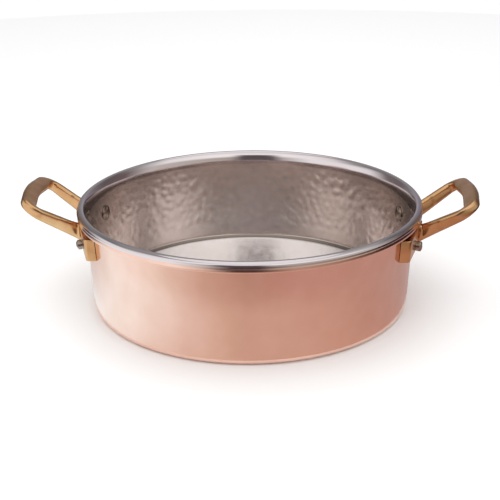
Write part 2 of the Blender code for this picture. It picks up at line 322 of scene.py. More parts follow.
def blow_centres(heights, pitch, seed):
    """Places on the unrolled wall where the hammer fell: rings of blows, none quite in line."""
    low, high = heights
    chance = random.Random(seed)
    blows = []
    rings = round((high - low) / (pitch * RING_SHARE))
    for ring in range(rings + 1):
        height = low + (high - low) * ring / rings
        count = round(2 * pi * wall_radius(height) / pitch)
        for i in range(count):
            beside = chance.uniform(-SIDE_SCATTER_SHARE, SIDE_SCATTER_SHARE)
            above = chance.uniform(-HEIGHT_SCATTER_SHARE, HEIGHT_SCATTER_SHARE)
            angle = 2 * pi * (i + ring % 2 / 2 + beside) / count
            force = chance.uniform(LIGHT_BLOW_SHARE, HARD_BLOW_SHARE)
            blows.append((angle, height + above * pitch, force))
    return blows


def hammer(piece, blows, blow_radius, depth, on_wall, outward):
    """Presses the blows' round hollows into the wall; outward is 1 from inside and -1 from outside."""
    tree = kdtree.KDTree(len(blows))
    for i, (angle, z, _) in enumerate(blows):
        r = wall_radius(z)
        tree.insert((r * cos(angle), r * sin(angle), z), i)
    tree.balance()
    for vertex in piece.data.vertices:
        x, y, z = vertex.co
        share = on_wall(sqrt(x * x + y * y), z)
        if share <= 0.0:
            continue
        r = wall_radius(z)
        angle = atan2(y, x)
        place = (r * cos(angle), r * sin(angle), z)
        hollow = 0.0
        for _, i, distance in tree.find_range(place, blow_radius):
            hollow += blows[i][2] * (1 - (distance / blow_radius) ** 2) ** 2
        move = outward * share * depth * (hollow - SWELL_SHARE)
        vertex.co.x += move * cos(angle)
        vertex.co.y += move * sin(angle)


def fade(value, start, end):
    """Smooth change from 0 at start to 1 at end."""
    share = min(max((value - start) / (end - start), 0.0), 1.0)
    return share * share * (3 - 2 * share)


def model_lining():
    """Floor, hammered wall and rolled lip of the silvery lining."""
    floor = [(r, 0.0) for r in (0.0, FLOOR_RING_RADIUS, FLOOR_LEVEL_RADIUS)]
    for i in range(1, DISH_STEPS + 1):
        share = i / DISH_STEPS
        floor.append((FLOOR_LEVEL_RADIUS + DISH_WIDTH * share, DISH_HEIGHT * share**2))
    inner = sheet_face(SHEET_THICKNESS, floor, LINING_SHEET_STEPS)
    outer = sheet_face(COPPER_THICKNESS + SEAT_GAP, [(0.0, 0.0)], HIDDEN_SHEET_STEPS)
    lining = turn_profile("lining_sheet", inner + outer[::-1], LINING_STEPS)
    blows = blow_centres(LINING_BLOW_HEIGHTS, LINING_BLOW_PITCH, LINING_SEED)

    def on_wall(r, z):
        inside = r < wall_radius(z) - SHEET_THICKNESS + LINING_THICKNESS / 2
        return fade(z, *LINING_FADE_IN) * (1 - fade(z, *LINING_FADE_OUT)) if inside else 0.0

    hammer(lining, blows, LINING_BLOW_RADIUS, LINING_BLOW_DEPTH, on_wall, 1)
    smooth(lining, LINING_CREASE)
    return lining


def model_copper():
    """Base, wall and skirt of the copper, planished outside."""
    half = COPPER_THICKNESS / 2
    middle = SKIRT_RADIUS - half
    centre = skirt_centre()
    edge = (centre[0] + middle * cos(SKIRT_TURN), centre[1] - middle * sin(SKIRT_TURN))
    inner = sheet_face(COPPER_THICKNESS, [(0.0, 0.0)], HIDDEN_SHEET_STEPS, SKIRT_STEPS)
    outer = sheet_face(0.0, [(r, 0.0) for r in BASE_RING_RADII], COPPER_SHEET_STEPS, SKIRT_STEPS)
    rounded_edge = arc(edge, half, -SKIRT_TURN, -SKIRT_TURN - pi, ROUND_STEPS)[1:-1]
    copper = turn_profile("copper_body", inner + rounded_edge + outer[::-1], COPPER_STEPS)
    blows = blow_centres(COPPER_BLOW_HEIGHTS, COPPER_BLOW_PITCH, COPPER_SEED)

    def on_wall(r, z):
        outside = wall_radius(z) - COPPER_THICKNESS / 2 < r < wall_radius(z) + SEAT_GAP
        return fade(z, *COPPER_FADE_IN) * (1 - fade(z, *COPPER_FADE_OUT)) if outside else 0.0

    hammer(copper, blows, COPPER_BLOW_RADIUS, COPPER_BLOW_DEPTH, on_wall, -1)
    smooth(copper, COPPER_CREASE)
    return copper


# The rivets


def rivet_height():
    return RIM_HEIGHT - RIVET_DEPTH


def arc_angle(length):
    return length / wall_radius(RIM_HEIGHT - LOOP_ROOT_DEPTH)


def rivet_angle():
    return arc_angle(LOOP_ROOT_HALF_SPREAD + RIVET_STEP)


def rivet_frame(handle_angle, side):
    """Places local +Z on the wall's outward normal, with local Z = 0 on the copper's outside."""
    turn = Matrix.Rotation(handle_angle + side * rivet_angle(), 4, "Z")
    place = Matrix.Translation((wall_radius(rivet_height()), 0.0, rivet_height()))
    tilt = Matrix.Rotation(pi / 2 + WALL_LEAN, 4, "Y")
    return turn @ place @ tilt


def rivet_profile():
    """Points (r, z) from the outer head's top to the top of the dome inside the pot."""
    sagitta = INNER_HEAD_RADIUS**2 / (2 * wall_radius(rivet_height()))
    outer_seat = SEAT_GAP + FOOT_THICKNESS + SEAT_GAP
    outer_top = outer_seat + OUTER_HEAD_HEIGHT
    inner_seat = -SHEET_THICKNESS - SEAT_GAP - sagitta
    dome_start = inner_seat - INNER_HEAD_EDGE
    dome_height = INNER_HEAD_HEIGHT - INNER_HEAD_EDGE
    dome_radius = (INNER_HEAD_RADIUS**2 + dome_height**2) / (2 * dome_height)
    dome_centre = (0.0, dome_start - dome_height + dome_radius)
    dome_turn = asin(min(INNER_HEAD_RADIUS / dome_radius, 1.0))
    round_centre = (OUTER_HEAD_RADIUS - OUTER_HEAD_ROUND, outer_top - OUTER_HEAD_ROUND)
    points = [(0.0, outer_top), (OUTER_HEAD_RADIUS * OUTER_HEAD_TOP_RING_SHARE, outer_top)]
    points += arc(round_centre, OUTER_HEAD_ROUND, pi / 2, 0.0, ROUND_STEPS)
    points += [(OUTER_HEAD_RADIUS, outer_seat), (SHANK_RADIUS, outer_seat)]
    points += [(SHANK_RADIUS, inner_seat), (INNER_HEAD_RADIUS, inner_seat)]
    points += arc(dome_centre, dome_radius, dome_turn - pi / 2, -pi / 2, DOME_STEPS)
    return points


def flatten_head(rivet, outward, height):
    """One glancing hammer blow on the outer head: a flat cut across its edge, filled."""
    pick(rivet)
    bpy.ops.object.mode_set(mode="EDIT")
    bpy.ops.mesh.select_all(action="SELECT")
    bpy.ops.mesh.bisect(
        plane_co=Vector((0.0, 0.0, height)), plane_no=outward, use_fill=True, clear_outer=True
    )
    bpy.ops.object.mode_set(mode="OBJECT")


def model_rivet():
    """One rivet about its own Z axis: a smooth dome inside and a hammered, faceted head outside."""
    rivet = turn_profile("rivet", rivet_profile(), RIVET_STEPS)
    top = SEAT_GAP * 2 + FOOT_THICKNESS + OUTER_HEAD_HEIGHT
    for degrees_round, slope, over in HEAD_FLATS:
        turn, tilt = radians(degrees_round), radians(slope)
        outward = Vector((sin(tilt) * cos(turn), sin(tilt) * sin(turn), cos(tilt)))
        flatten_head(rivet, outward, top + over)
    return rivet


# The handles


def rounded_route(corners, radii, step):
    """A flat route through its first and last corners, with an arc at each corner between them."""
    route = [Vector(corners[0])]
    for before, corner, after, radius in zip(corners, corners[1:], corners[2:], radii):
        corner = Vector(corner)
        back = (Vector(before) - corner).normalized()
        ahead = (Vector(after) - corner).normalized()
        half_turn = back.angle(ahead) / 2
        centre = corner + (back + ahead).normalized() * (radius / sin(half_turn))
        start = corner + back * (radius / tan(half_turn)) - centre
        sweep = start.angle_signed(corner + ahead * (radius / tan(half_turn)) - centre)
        steps = ceil(abs(sweep) * radius / step)
        for i in range(steps + 1):
            route.append(centre + Matrix.Rotation(-sweep * i / steps, 2) @ start)
    route.append(Vector(corners[-1]))
    return route


def loop_route():
    """Points (reach, spread) of the loop's centreline in its own plane, from the wall to the tip."""
    tip = LOOP_REACH + GRIP_BOW
    root = (0.0, LOOP_ROOT_HALF_SPREAD)
    corner = (LOOP_REACH, LOOP_GRIP_HALF_SPREAD)
    far_corner = (LOOP_REACH, -LOOP_GRIP_HALF_SPREAD)
    whole = rounded_route(
        [root, corner, (tip, 0.0), far_corner], [LOOP_CORNER_RADIUS, GRIP_BOW_RADIUS], SPAN_STEP
    )
    half = [point for point in whole if point.y > MERGE_DISTANCE]
    bow = [point for point in whole if abs(point.y) <= MERGE_DISTANCE]
    return half + bow[:1]


def section_ring(centre, across, up, half_width, half_height):
    """A rounded-square ring of points about a centre."""
    ring = []
    for i in range(SECTION_POINTS):
        turn = 2 * pi * (i + 0.5) / SECTION_POINTS
        x = abs(cos(turn)) ** (2 / SECTION_SQUARENESS) * (1 if cos(turn) > 0 else -1)
        y = abs(sin(turn)) ** (2 / SECTION_SQUARENESS) * (1 if sin(turn) > 0 else -1)
        ring.append(centre + across * (x * half_width) + up * (y * half_height))
    return ring


def foot_face_x(height, spread):
    distance = wall_radius(height) + (SEAT_GAP + FOOT_THICKNESS) / cos(WALL_LEAN)
    return (distance - spread * sin(rivet_angle())) / cos(rivet_angle())


def root_start():
    height = RIM_HEIGHT - LOOP_ROOT_DEPTH
    return Vector((wall_radius(height) * cos(arc_angle(LOOP_ROOT_HALF_SPREAD)), 0.0, height))


def loop_stations():
    """(centre in the loop's plane, way ahead, flare share) for each section, from foot to tip."""
    route = loop_route()
    strand = (route[1] - route[0]).normalized()
    start = root_start()
    face = (foot_face_x(start.z, LOOP_ROOT_HALF_SPREAD) - start.x) / cos(LOOP_RISE) / strand.x
    first = route[0] + strand * face
    stations = []
    for i in range(FLARE_STEPS + 1):
        out = i / FLARE_STEPS
        flare = 1 - sqrt(1 - (1 - out) ** 2)
        stations.append((first + strand * (ROOT_FLARE_LENGTH * out), strand, flare))
    straight = (route[1] - first).length
    steps = ceil((straight - ROOT_FLARE_LENGTH) / SPAN_STEP)
    for i in range(1, steps):
        along = ROOT_FLARE_LENGTH + (straight - ROOT_FLARE_LENGTH) * i / steps
        stations.append((first + strand * along, strand, 0.0))
    for before, point, after in zip(route, route[1:], route[2:] + [None]):
        ahead = Vector((0.0, -1.0))
        if after is not None:
            ahead = ((point - before).normalized() + (after - point).normalized()).normalized()
        stations.append((point, ahead, 0.0))
    return stations


def loop_sections():
    """The rings of the whole loop, from inside one foot, round the grip, to inside the other."""
    start = root_start()
    out = Vector((cos(LOOP_RISE), 0.0, sin(LOOP_RISE)))
    side = Vector((0.0, 1.0, 0.0))
    square = Vector((-sin(LOOP_RISE), 0.0, cos(LOOP_RISE)))
    facing = Vector((cos(rivet_angle()), sin(rivet_angle()), 0.0))
    along_foot = Vector((-sin(rivet_angle()), cos(rivet_angle()), 0.0))
    stations = loop_stations()
    rings = []
    for point, ahead, flare in stations:
        turned = fade((point - stations[0][0]).length, 0.0, ROOT_TURN_LENGTH)
        gripped = 0.0
        if point.x > LOOP_REACH / 2:
            gripped = fade(atan2(abs(ahead.y), abs(ahead.x)), 0.0, pi / 2)
        across = along_foot.lerp(out * -ahead.y + side * ahead.x, turned).normalized()
        up = Vector((0.0, 0.0, 1.0)).lerp(square, turned).normalized()
        reached = min(point.x / LOOP_REACH, 1)
        tall = STRAND_ROOT_HEIGHT + (GRIP_HEIGHT - STRAND_ROOT_HEIGHT) * reached
        wide = STRAND_WIDTH + (GRIP_WIDTH - STRAND_WIDTH) * gripped
        half_height = tall / 2 / up.dot(square) + ROOT_FLARE_HEIGHT * flare
        half_width = wide / 2 + ROOT_FLARE_WIDTH * flare
        centre = start + out * point.x + side * point.y
        rings.append(section_ring(centre, across, up, half_width, half_height))
    seat = [point - facing * (FOOT_THICKNESS / 2) for point in rings[0]]
    half = [seat] + rings
    half[-1] = [Vector((point.x, 0.0, point.z)) for point in half[-1]]
    other = []
    for ring in half[-2::-1]:
        flipped = [Vector((point.x, -point.y, point.z)) for point in ring]
        other.append(flipped)
    return half, other


def mirrored_order(ring_end, ring):
    """Puts a mirrored ring's points in the order of the ring before it, starting at the nearest."""
    first = min(range(len(ring)), key=lambda i: (ring[i] - ring_end[0]).length)
    turned = [ring[(first + i) % len(ring)] for i in range(len(ring))]
    back = [ring[(first - i) % len(ring)] for i in range(len(ring))]
    forth_gap = (turned[1] - ring_end[1]).length
    back_gap = (back[1] - ring_end[1]).length
    return turned if forth_gap < back_gap else back


def shape_end(piece, ring):
    """Moves the corners of the selected end face to a ring's points."""
    shape = bmesh.from_edit_mesh(piece.data)
    end = next(face for face in shape.faces if face.select)
    for vertex, point in zip(end.verts, ring):
        vertex.co = point
    bmesh.update_edit_mesh(piece.data)


def model_loop():
    """The loop: a round face, drawn out section by section from one foot to the other."""
    half, other = loop_sections()
    rings = half[:]
    for ring in other:
        rings.append(mirrored_order(rings[-1], ring))
    clear_selection()
    bpy.ops.mesh.primitive_circle_add(
        vertices=SECTION_POINTS, radius=STRAND_WIDTH, fill_type="NGON"
    )
    loop = bpy.context.object
    loop.name = loop.data.name = "handle"
    bpy.ops.object.mode_set(mode="EDIT")
    shape_end(loop, rings[0])
    for ring in rings[1:]:
        bpy.ops.mesh.extrude_region_move()
        shape_end(loop, ring)
    bpy.ops.object.mode_set(mode="OBJECT")
    tidy_faces(loop)
    return loop


def model_foot(side):
    """A flat-faced block with a rounded toe, on one side of the loop."""
    high = RIM_HEIGHT - FOOT_TOP_DEPTH
    low = high - FOOT_HEIGHT
    heel = LOOP_ROOT_HALF_SPREAD - FOOT_HEEL
    toe = LOOP_ROOT_HALF_SPREAD + FOOT_TOE
    back = sqrt(wall_radius(low) ** 2 - toe**2) - OVERRUN
    clear_selection()
    bpy.ops.mesh.primitive_cube_add(size=1.0, location=(0.0, 0.0, 0.0))
    foot = bpy.context.object
    foot.name = foot.data.name = "foot"
    for vertex in foot.data.vertices:
        height = high if vertex.co.z > 0 else low
        spread = toe if vertex.co.y > 0 else heel
        x = foot_face_x(height, spread) if vertex.co.x > 0 else back
        vertex.co = (x, side * spread, height)
    tidy_faces(foot)
    bpy.ops.object.mode_set(mode="EDIT")
    bpy.ops.mesh.select_mode(type="EDGE")
    bpy.ops.mesh.select_all(action="DESELECT")
    shape = bmesh.from_edit_mesh(foot.data)
    for edge in shape.edges:
        at_toe = all(abs(abs(v.co.y) - toe) < MERGE_DISTANCE for v in edge.verts)
        in_front = all(v.co.x > back + MERGE_DISTANCE for v in edge.verts)
        edge.select = at_toe and in_front
    bmesh.update_edit_mesh(foot.data)
    bpy.ops.mesh.bevel(offset=FOOT_TOE_RADIUS, segments=TOE_STEPS)
    bpy.ops.object.mode_set(mode="OBJECT")
    edges = foot.modifiers.new("edges", "BEVEL")
    edges.width = FOOT_EDGE_RADIUS
    edges.segments = FOOT_EDGE_STEPS
    edges.limit_method = "ANGLE"
    edges.angle_limit = FOOT_CREASE
    apply_modifier(foot, edges)
    return foot


def join_solid(piece, other, operation):
    """Unites or cuts one solid with another, which is then taken away."""
    cut = piece.modifiers.new("cut", "BOOLEAN")
    cut.object = other
    cut.operation = operation
    cut.solver = "EXACT"
    apply_modifier(piece, cut)
    bpy.data.objects.remove(other, do_unlink=True)


def model_wall_clearance():
    """A turned cutter one gap larger than the wall, for the backs of the feet."""
    high = RIM_HEIGHT - FOOT_TOP_DEPTH + OVERRUN
    low = RIM_HEIGHT - FOOT_TOP_DEPTH - FOOT_HEIGHT - OVERRUN
    gap = SEAT_GAP / cos(WALL_LEAN)
    top, bottom = (wall_radius(high) + gap, high), (wall_radius(low) + gap, low)
    return turn_profile("wall_clearance", [(0.0, high), top, bottom, (0.0, low)], CUTTER_STEPS)


def model_handle():
    """One brass casting, made on the +X side: a loop on two feet whose backs follow the wall."""
    handle = model_loop()
    for side in (-1, 1):
        foot = model_foot(side)
        join_solid(foot, model_wall_clearance(), "DIFFERENCE")
        join_solid(handle, foot, "UNION")
        clear_selection()
        bpy.ops.mesh.primitive_cylinder_add(
            vertices=HOLE_STEPS, radius=SHANK_RADIUS + SEAT_GAP, depth=HOLE_DEPTH
        )
        hole = bpy.context.object
        hole.data.transform(rivet_frame(0.0, side))
        join_solid(handle, hole, "DIFFERENCE")
    smooth(handle, HANDLE_CREASE)
    return handle


# Materials


def linear(colour):
    """An sRGB hex colour as linear red, green, blue and alpha."""
    shares = [int(colour[i : i + 2], 16) / 255 for i in (1, 3, 5)]
    red, green, blue = (s / 12.92 if s <= 0.04045 else ((s + 0.055) / 1.055) ** 2.4 for s in shares)
    return red, green, blue, 1.0


def marks(millimetres):
    """The noise scale, on coordinates in metres, that gives marks of this size."""
    return 1000 / millimetres


def add(tree, kind, settings=None, values=None, links=None, stops=()):
    """Adds one node with its settings, its inputs' values and links and, on a ramp, its colours."""
    node = tree.nodes.new("ShaderNode" + kind)
    for name, value in (settings or {}).items():
        setattr(node, name, value)
    for name, value in (values or {}).items():
        node.inputs[name].default_value = value
    for name, source in (links or {}).items():
        tree.links.new(source, node.inputs[name])
    for i, (place, colour) in enumerate(stops):
        stop = node.color_ramp.elements[i] if i < 2 else node.color_ramp.elements.new(place)
        stop.position = place
        stop.color = colour
    return node


def new_material(name):
    material = bpy.data.materials.new(name)
    material.use_nodes = True
    tree = material.node_tree
    tree.nodes.clear()
    return material, tree


def wheel_rings(tree, place, rings_per_mm):
    """Fine rings, as a lathe or a polishing wheel leaves them: noise of radius and height alone."""
    apart = add(tree, "SeparateXYZ", links={"Vector": place})
    flat = add(tree, "CombineXYZ", links={"X": apart.outputs["X"], "Y": apart.outputs["Y"]})
    radius = add(tree, "VectorMath", {"operation": "LENGTH"}, links={0: flat.outputs[0]})
    ring = add(tree, "CombineXYZ", links={"X": radius.outputs["Value"], "Z": apart.outputs["Z"]})
    return add(
        tree,
        "TexNoise",
        values={"Scale": marks(1 / rings_per_mm), "Detail": 3.0},
        links={"Vector": ring.outputs[0]},
    )


def planished_copper():
    """Copper sheet, hammered flat and satin polished: warm pink, with soft highlights."""
    material, tree = new_material("planished copper")
    place = add(tree, "TexCoord").outputs["Object"]
    # Broad patches where the polish is a little brighter or warmer
    patches = add(tree, "TexNoise", values={"Scale": marks(25), "Detail": 3.0}, links={"Vector": place})
    colour = add(
        tree,
        "ValToRGB",
        links={"Fac": patches.outputs["Fac"]},
        stops=((0.30, linear("#F2CBBA")), (0.72, linear("#F8D4C5"))),
    )
    rings = wheel_rings(tree, place, 2.5)
    gloss = add(
        tree,
        "MapRange",
        values={"To Min": 0.13, "To Max": 0.19},
        links={"Value": patches.outputs["Fac"]},
    )
    bump = add(
        tree,
        "Bump",
        values={"Strength": 0.10, "Distance": 0.00008},
        links={"Height": rings.outputs["Fac"]},
    )
    shader = add(
        tree,
        "BsdfPrincipled",
        values={"Metallic": 1.0},
        links={
            "Base Color": colour.outputs["Color"],
            "Roughness": gloss.outputs["Result"],
            "Normal": bump.outputs["Normal"],
        },
    )
    add(tree, "OutputMaterial", links={"Surface": shader.outputs["BSDF"]})
    return material


def hammered_lining():
    """Silvery lining sheet, hammered by hand and satin polished: warm grey, with broken highlights."""
    material, tree = new_material("hammered lining")
    place = add(tree, "TexCoord").outputs["Object"]
    grain = add(tree, "TexNoise", values={"Scale": marks(6.25), "Detail": 4.0}, links={"Vector": place})
    colour = add(
        tree,
        "ValToRGB",
        links={"Fac": grain.outputs["Fac"]},
        stops=((0.30, linear("#E9DCD5")), (0.70, linear("#F1E5DF"))),
    )
    # The lowest millimetres, in the corner, are coloured a darker grey, which fades out a little higher
    # up
    height = add(tree, "SeparateXYZ", links={"Vector": place})
    polished = add(
        tree,
        "MapRange",
        {"interpolation_type": "SMOOTHSTEP"},
        {"From Min": DARK_CORNER_HEIGHT, "From Max": CORNER_FADE_HEIGHT},
        {"Value": height.outputs["Z"]},
    )
    darkened_corner = add(
        tree,
        "MixRGB",
        values={"Color1": linear("#8E837B")},
        links={"Fac": polished.outputs["Result"], "Color2": colour.outputs["Color"]},
    )
    rings = wheel_rings(tree, place, 2.2)
    gloss = add(
        tree,
        "MapRange",
        values={"To Min": 0.19, "To Max": 0.26},
        links={"Value": grain.outputs["Fac"]},
    )
    bump = add(
        tree,
        "Bump",
        values={"Strength": 0.05, "Distance": 0.00008},
        links={"Height": rings.outputs["Fac"]},
    )
    shader = add(
        tree,
        "BsdfPrincipled",
        values={"Metallic": 1.0},
        links={
            "Base Color": darkened_corner.outputs["Color"],
            "Roughness": gloss.outputs["Result"],
            "Normal": bump.outputs["Normal"],
        },
    )
    add(tree, "OutputMaterial", links={"Surface": shader.outputs["BSDF"]})
    return material


def brushed_floor():
    """The lining's smooth floor, brushed on a lathe: bright and soft, with broad highlights."""
    material, tree = new_material("brushed lining floor")
    place = add(tree, "TexCoord").outputs["Object"]
    rings = wheel_rings(tree, place, 1.6)
    colour = add(
        tree,
        "ValToRGB",
        links={"Fac": rings.outputs["Fac"]},
        stops=((0.0, linear("#EEEFF1")), (1.0, linear("#F8F9FB"))),
    )
    bump = add(
        tree,
        "Bump",
        values={"Strength": 0.10, "Distance": 0.00008},
        links={"Height": rings.outputs["Fac"]},
    )
    shader = add(
        tree,
        "BsdfPrincipled",
        values={"Metallic": 1.0, "Roughness": 0.17},
        links={"Base Color": colour.outputs["Color"], "Normal": bump.outputs["Normal"]},
    )
    add(tree, "OutputMaterial", links={"Surface": shader.outputs["BSDF"]})
    return material


def polished_lip():
    """The lining where it rolls over the lip, buffed bright: a near mirror with hair-fine rings."""
    material, tree = new_material("polished lip")
    place = add(tree, "TexCoord").outputs["Object"]
    rings = wheel_rings(tree, place, 3.0)
    soft = add(tree, "TexNoise", values={"Scale": marks(16.67), "Detail": 2.0}, links={"Vector": place})
    gloss = add(
        tree,
        "MapRange",
        values={"To Min": 0.08, "To Max": 0.15},
        links={"Value": soft.outputs["Fac"]},
    )
    bump = add(
        tree,
        "Bump",
        values={"Strength": 0.06, "Distance": 0.00005},
        links={"Height": rings.outputs["Fac"]},
    )
    shader = add(
        tree,
        "BsdfPrincipled",
        values={"Metallic": 1.0, "Base Color": linear("#E0D7D9")},
        links={"Roughness": gloss.outputs["Result"], "Normal": bump.outputs["Normal"]},
    )
    add(tree, "OutputMaterial", links={"Surface": shader.outputs["BSDF"]})
    return material


def cast_brass():
    """Cast yellow brass, filed and buffed by hand: golden and glossy, with soft casting waves."""
    material, tree = new_material("cast brass")
    place = add(tree, "TexCoord").outputs["Object"]
    waves = add(tree, "TexNoise", values={"Scale": marks(11.11), "Detail": 2.0}, links={"Vector": place})
    colour = add(
        tree,
        "ValToRGB",
        links={"Fac": waves.outputs["Fac"]},
        stops=((0.30, linear("#CFA070")), (0.70, linear("#DEB285"))),
    )
    fine = add(tree, "TexNoise", values={"Scale": marks(0.7143), "Detail": 2.0}, links={"Vector": place})
    gloss = add(
        tree,
        "MapRange",
        values={"To Min": 0.13, "To Max": 0.22},
        links={"Value": waves.outputs["Fac"]},
    )
    bump = add(
        tree,
        "Bump",
        values={"Strength": 0.08, "Distance": 0.00005},
        links={"Height": fine.outputs["Fac"]},
    )
    shader = add(
        tree,
        "BsdfPrincipled",
        values={"Metallic": 1.0},
        links={
            "Base Color": colour.outputs["Color"],
            "Roughness": gloss.outputs["Result"],
            "Normal": bump.outputs["Normal"],
        },
    )
    add(tree, "OutputMaterial", links={"Surface": shader.outputs["BSDF"]})
    return material


def rivet_steel():
    """Grey rivet metal, struck with a hammer: dull grey with a soft shine."""
    material, tree = new_material("rivet metal")
    place = add(tree, "TexCoord").outputs["Object"]
    spots = add(tree, "TexNoise", values={"Scale": marks(2), "Detail": 3.0}, links={"Vector": place})
    colour = add(
        tree,
        "ValToRGB",
        links={"Fac": spots.outputs["Fac"]},
        stops=((0.30, linear("#8E7D70")), (0.70, linear("#B09F92"))),
    )
    bump = add(
        tree,
        "Bump",
        values={"Strength": 0.15, "Distance": 0.0001},
        links={"Height": spots.outputs["Fac"]},
    )
    shader = add(
        tree,
        "BsdfPrincipled",
        values={"Metallic": 1.0, "Roughness": 0.24},
        links={"Base Color": colour.outputs["Color"], "Normal": bump.outputs["Normal"]},
    )
    add(tree, "OutputMaterial", links={"Surface": shader.outputs["BSDF"]})
    return material


def assign_lining_faces(lining):
    """Wall faces keep the first material, the floor takes the second and the lip the third."""
    for face in lining.data.polygons:
        x, y, z = face.center
        r = sqrt(x * x + y * y)
        if z > lip_centres()[0][1] or r > wall_radius(z):
            face.material_index = 2
        elif r < FLOOR_EDGE_RADIUS and z > SHEET_THICKNESS - LINING_THICKNESS / 2:
            face.material_index = 1


# The studio


def shade(*light):
    """Light of a painted place: one number for a neutral grey, or red, green and blue."""
    return (*(light if len(light) == 3 else light * 3), 1.0)


# What the metal sees of the set, as (share of a turn about the pot, light): 0 is behind the pot, 0.25
# on its left, 0.5 at the camera and 0.75 on its right. Black cloths stand beside the soft boxes.
LOW_ON_SCREEN = (
    (0.0, shade(0.38, 0.36, 0.41)),  # dusk behind the pot
    (0.06, shade(0.28)),
    (0.12, shade(0.18, 0.15, 0.15)),  # cloth on the left
    (0.17, shade(0.20, 0.18, 0.18)),
    (0.22, shade(0.90)),  # left soft box
    (0.26, shade(1.00)),
    (0.37, shade(1.02)),
    (0.42, shade(0.68, 0.66, 0.63)),
    (0.46, shade(0.38, 0.35, 0.32)),  # between the boxes
    (0.60, shade(0.56, 0.52, 0.46)),
    (0.73, shade(0.62, 0.60, 0.56)),  # dimmer right soft box
    (0.80, shade(0.18, 0.13, 0.13)),  # cloth on the right
    (0.87, shade(0.14, 0.12, 0.12)),
    (1.0, shade(0.38, 0.36, 0.41)),
)
HIGH_ON_SCREEN = (
    (0.0, shade(0.32)),  # dusk
    (0.05, shade(0.26)),
    (0.20, shade(0.20)),
    (0.26, shade(0.42)),
    (0.31, shade(0.88)),  # the boxes' upper halves, which meet over the camera
    (0.36, shade(1.05)),
    (0.44, shade(1.15)),
    (0.58, shade(1.15)),
    (0.70, shade(1.00)),
    (0.78, shade(0.36)),
    (0.84, shade(0.12)),  # cloth on the right
    (0.91, shade(0.22)),
    (1.0, shade(0.32)),
)
TOP_ON_SCREEN = (
    (0.0, shade(0.45)),  # light spilt from the ceiling
    (0.08, shade(0.36)),
    (0.28, shade(0.30)),
    (0.42, shade(0.85)),  # the boxes' tops
    (0.62, shade(0.90)),
    (0.74, shade(0.60)),
    (0.86, shade(0.38)),
    (1.0, shade(0.45)),
)
NEAR_ON_TABLE = (
    (0.0, shade(0.65, 0.57, 0.53)),  # warm light thrown back by the copper
    (0.15, shade(0.65, 0.58, 0.56)),
    (0.23, shade(0.80, 0.81, 0.81)),
    (0.30, shade(1.00, 1.15, 1.21)),  # cool daylight on the left
    (0.35, shade(1.00, 1.13, 1.17)),
    (0.39, shade(0.93, 0.96, 0.97)),
    (0.43, shade(0.82, 0.75, 0.73)),
    (0.47, shade(0.71, 0.59, 0.52)),
    (0.50, shade(0.64, 0.50, 0.44)),  # warm and dim in front
    (0.60, shade(0.61, 0.44, 0.385)),
    (0.66, shade(0.54, 0.37, 0.33)),
    (0.76, shade(0.49, 0.38, 0.37)),
    (1.0, shade(0.65, 0.57, 0.53)),
)
MIDWAY_ON_TABLE = (
    (0.0, shade(0.28, 0.25, 0.24)),  # dusk
    (0.18, shade(0.32, 0.29, 0.28)),
    (0.24, shade(0.88, 0.90, 0.90)),  # cool daylight on the left
    (0.27, shade(1.00, 1.13, 1.17)),
    (0.33, shade(1.01, 1.06, 1.09)),
    (0.39, shade(0.80, 0.74, 0.69)),
    (0.44, shade(0.64, 0.50, 0.44)),
    (0.50, shade(0.51, 0.35, 0.30)),  # warm and dim in front
    (0.56, shade(0.55, 0.36, 0.33)),
    (0.74, shade(0.53, 0.375, 0.35)),
    (1.0, shade(0.28, 0.25, 0.24)),
)
FAR_ON_TABLE = (
    (0.0, shade(0.30, 0.28, 0.30)),  # dusk
    (0.13, shade(0.08, 0.05, 0.05)),  # cloth on the left
    (0.212, shade(0.08, 0.05, 0.05)),
    (0.246, shade(0.90)),  # daylight on the left
    (0.28, shade(1.05)),
    (0.39, shade(1.05)),
    (0.44, shade(0.70, 0.64, 0.60)),
    (0.48, shade(0.07, 0.04, 0.045)),  # cloth in front
    (0.52, shade(0.07, 0.04, 0.045)),
    (0.57, shade(0.45, 0.38, 0.34)),
    (0.63, shade(0.36, 0.28, 0.24)),
    (0.72, shade(0.04, 0.02, 0.02)),  # cloth on the right
    (0.80, shade(0.04, 0.02, 0.02)),
    (0.86, shade(0.16, 0.13, 0.12)),
    (1.0, shade(0.30, 0.28, 0.30)),
)

# Where the paintings change: up the screen, and outwards over the table
LOW_TO_HIGH = (0.60, 0.95)
HIGH_TO_TOP = (1.30, 1.70)
NEAR_TO_MIDWAY = (0.210, 0.265)
MIDWAY_TO_FAR = (0.318, 0.350)

# The dark gap between the soft boxes: its middle, how far aside it clears and at what height it ends
GAP_LIGHT = shade(0.12, 0.10, 0.10)
GAP_SHARE = 0.49
GAP_SIDE = (0.026, 0.062)
GAP_TOP = (1.00, 1.18)

SCREEN_RADIUS = 1.6
SCREEN_HEIGHT = 2.8
TABLE_SIZE = 12.0
SHEET_HOLE_RADIUS = 0.143
SHEET_LIFT = 0.0004
OVERHEAD_BOX_PLACE = (-0.15, -0.20, 1.8)
OVERHEAD_BOX_AIM = (0.0, 0.0, 0.05)
OVERHEAD_BOX_SIZE = 2.0
OVERHEAD_BOX_POWER = 12.0

# The camera, fitted to the pot's outlines in the photo
CAMERA_ELEVATION = 0.3795
CAMERA_YAW = -0.0404
CAMERA_ROLL = 0.0101
CAMERA_DISTANCE = 0.93555
AIM_ASIDE = -0.00015
AIM_HEIGHT = 0.0424
FOCAL_PIXELS = 1060.3
PHOTO_WIDTH_PIXELS = 500
SENSOR_WIDTH = 36.0


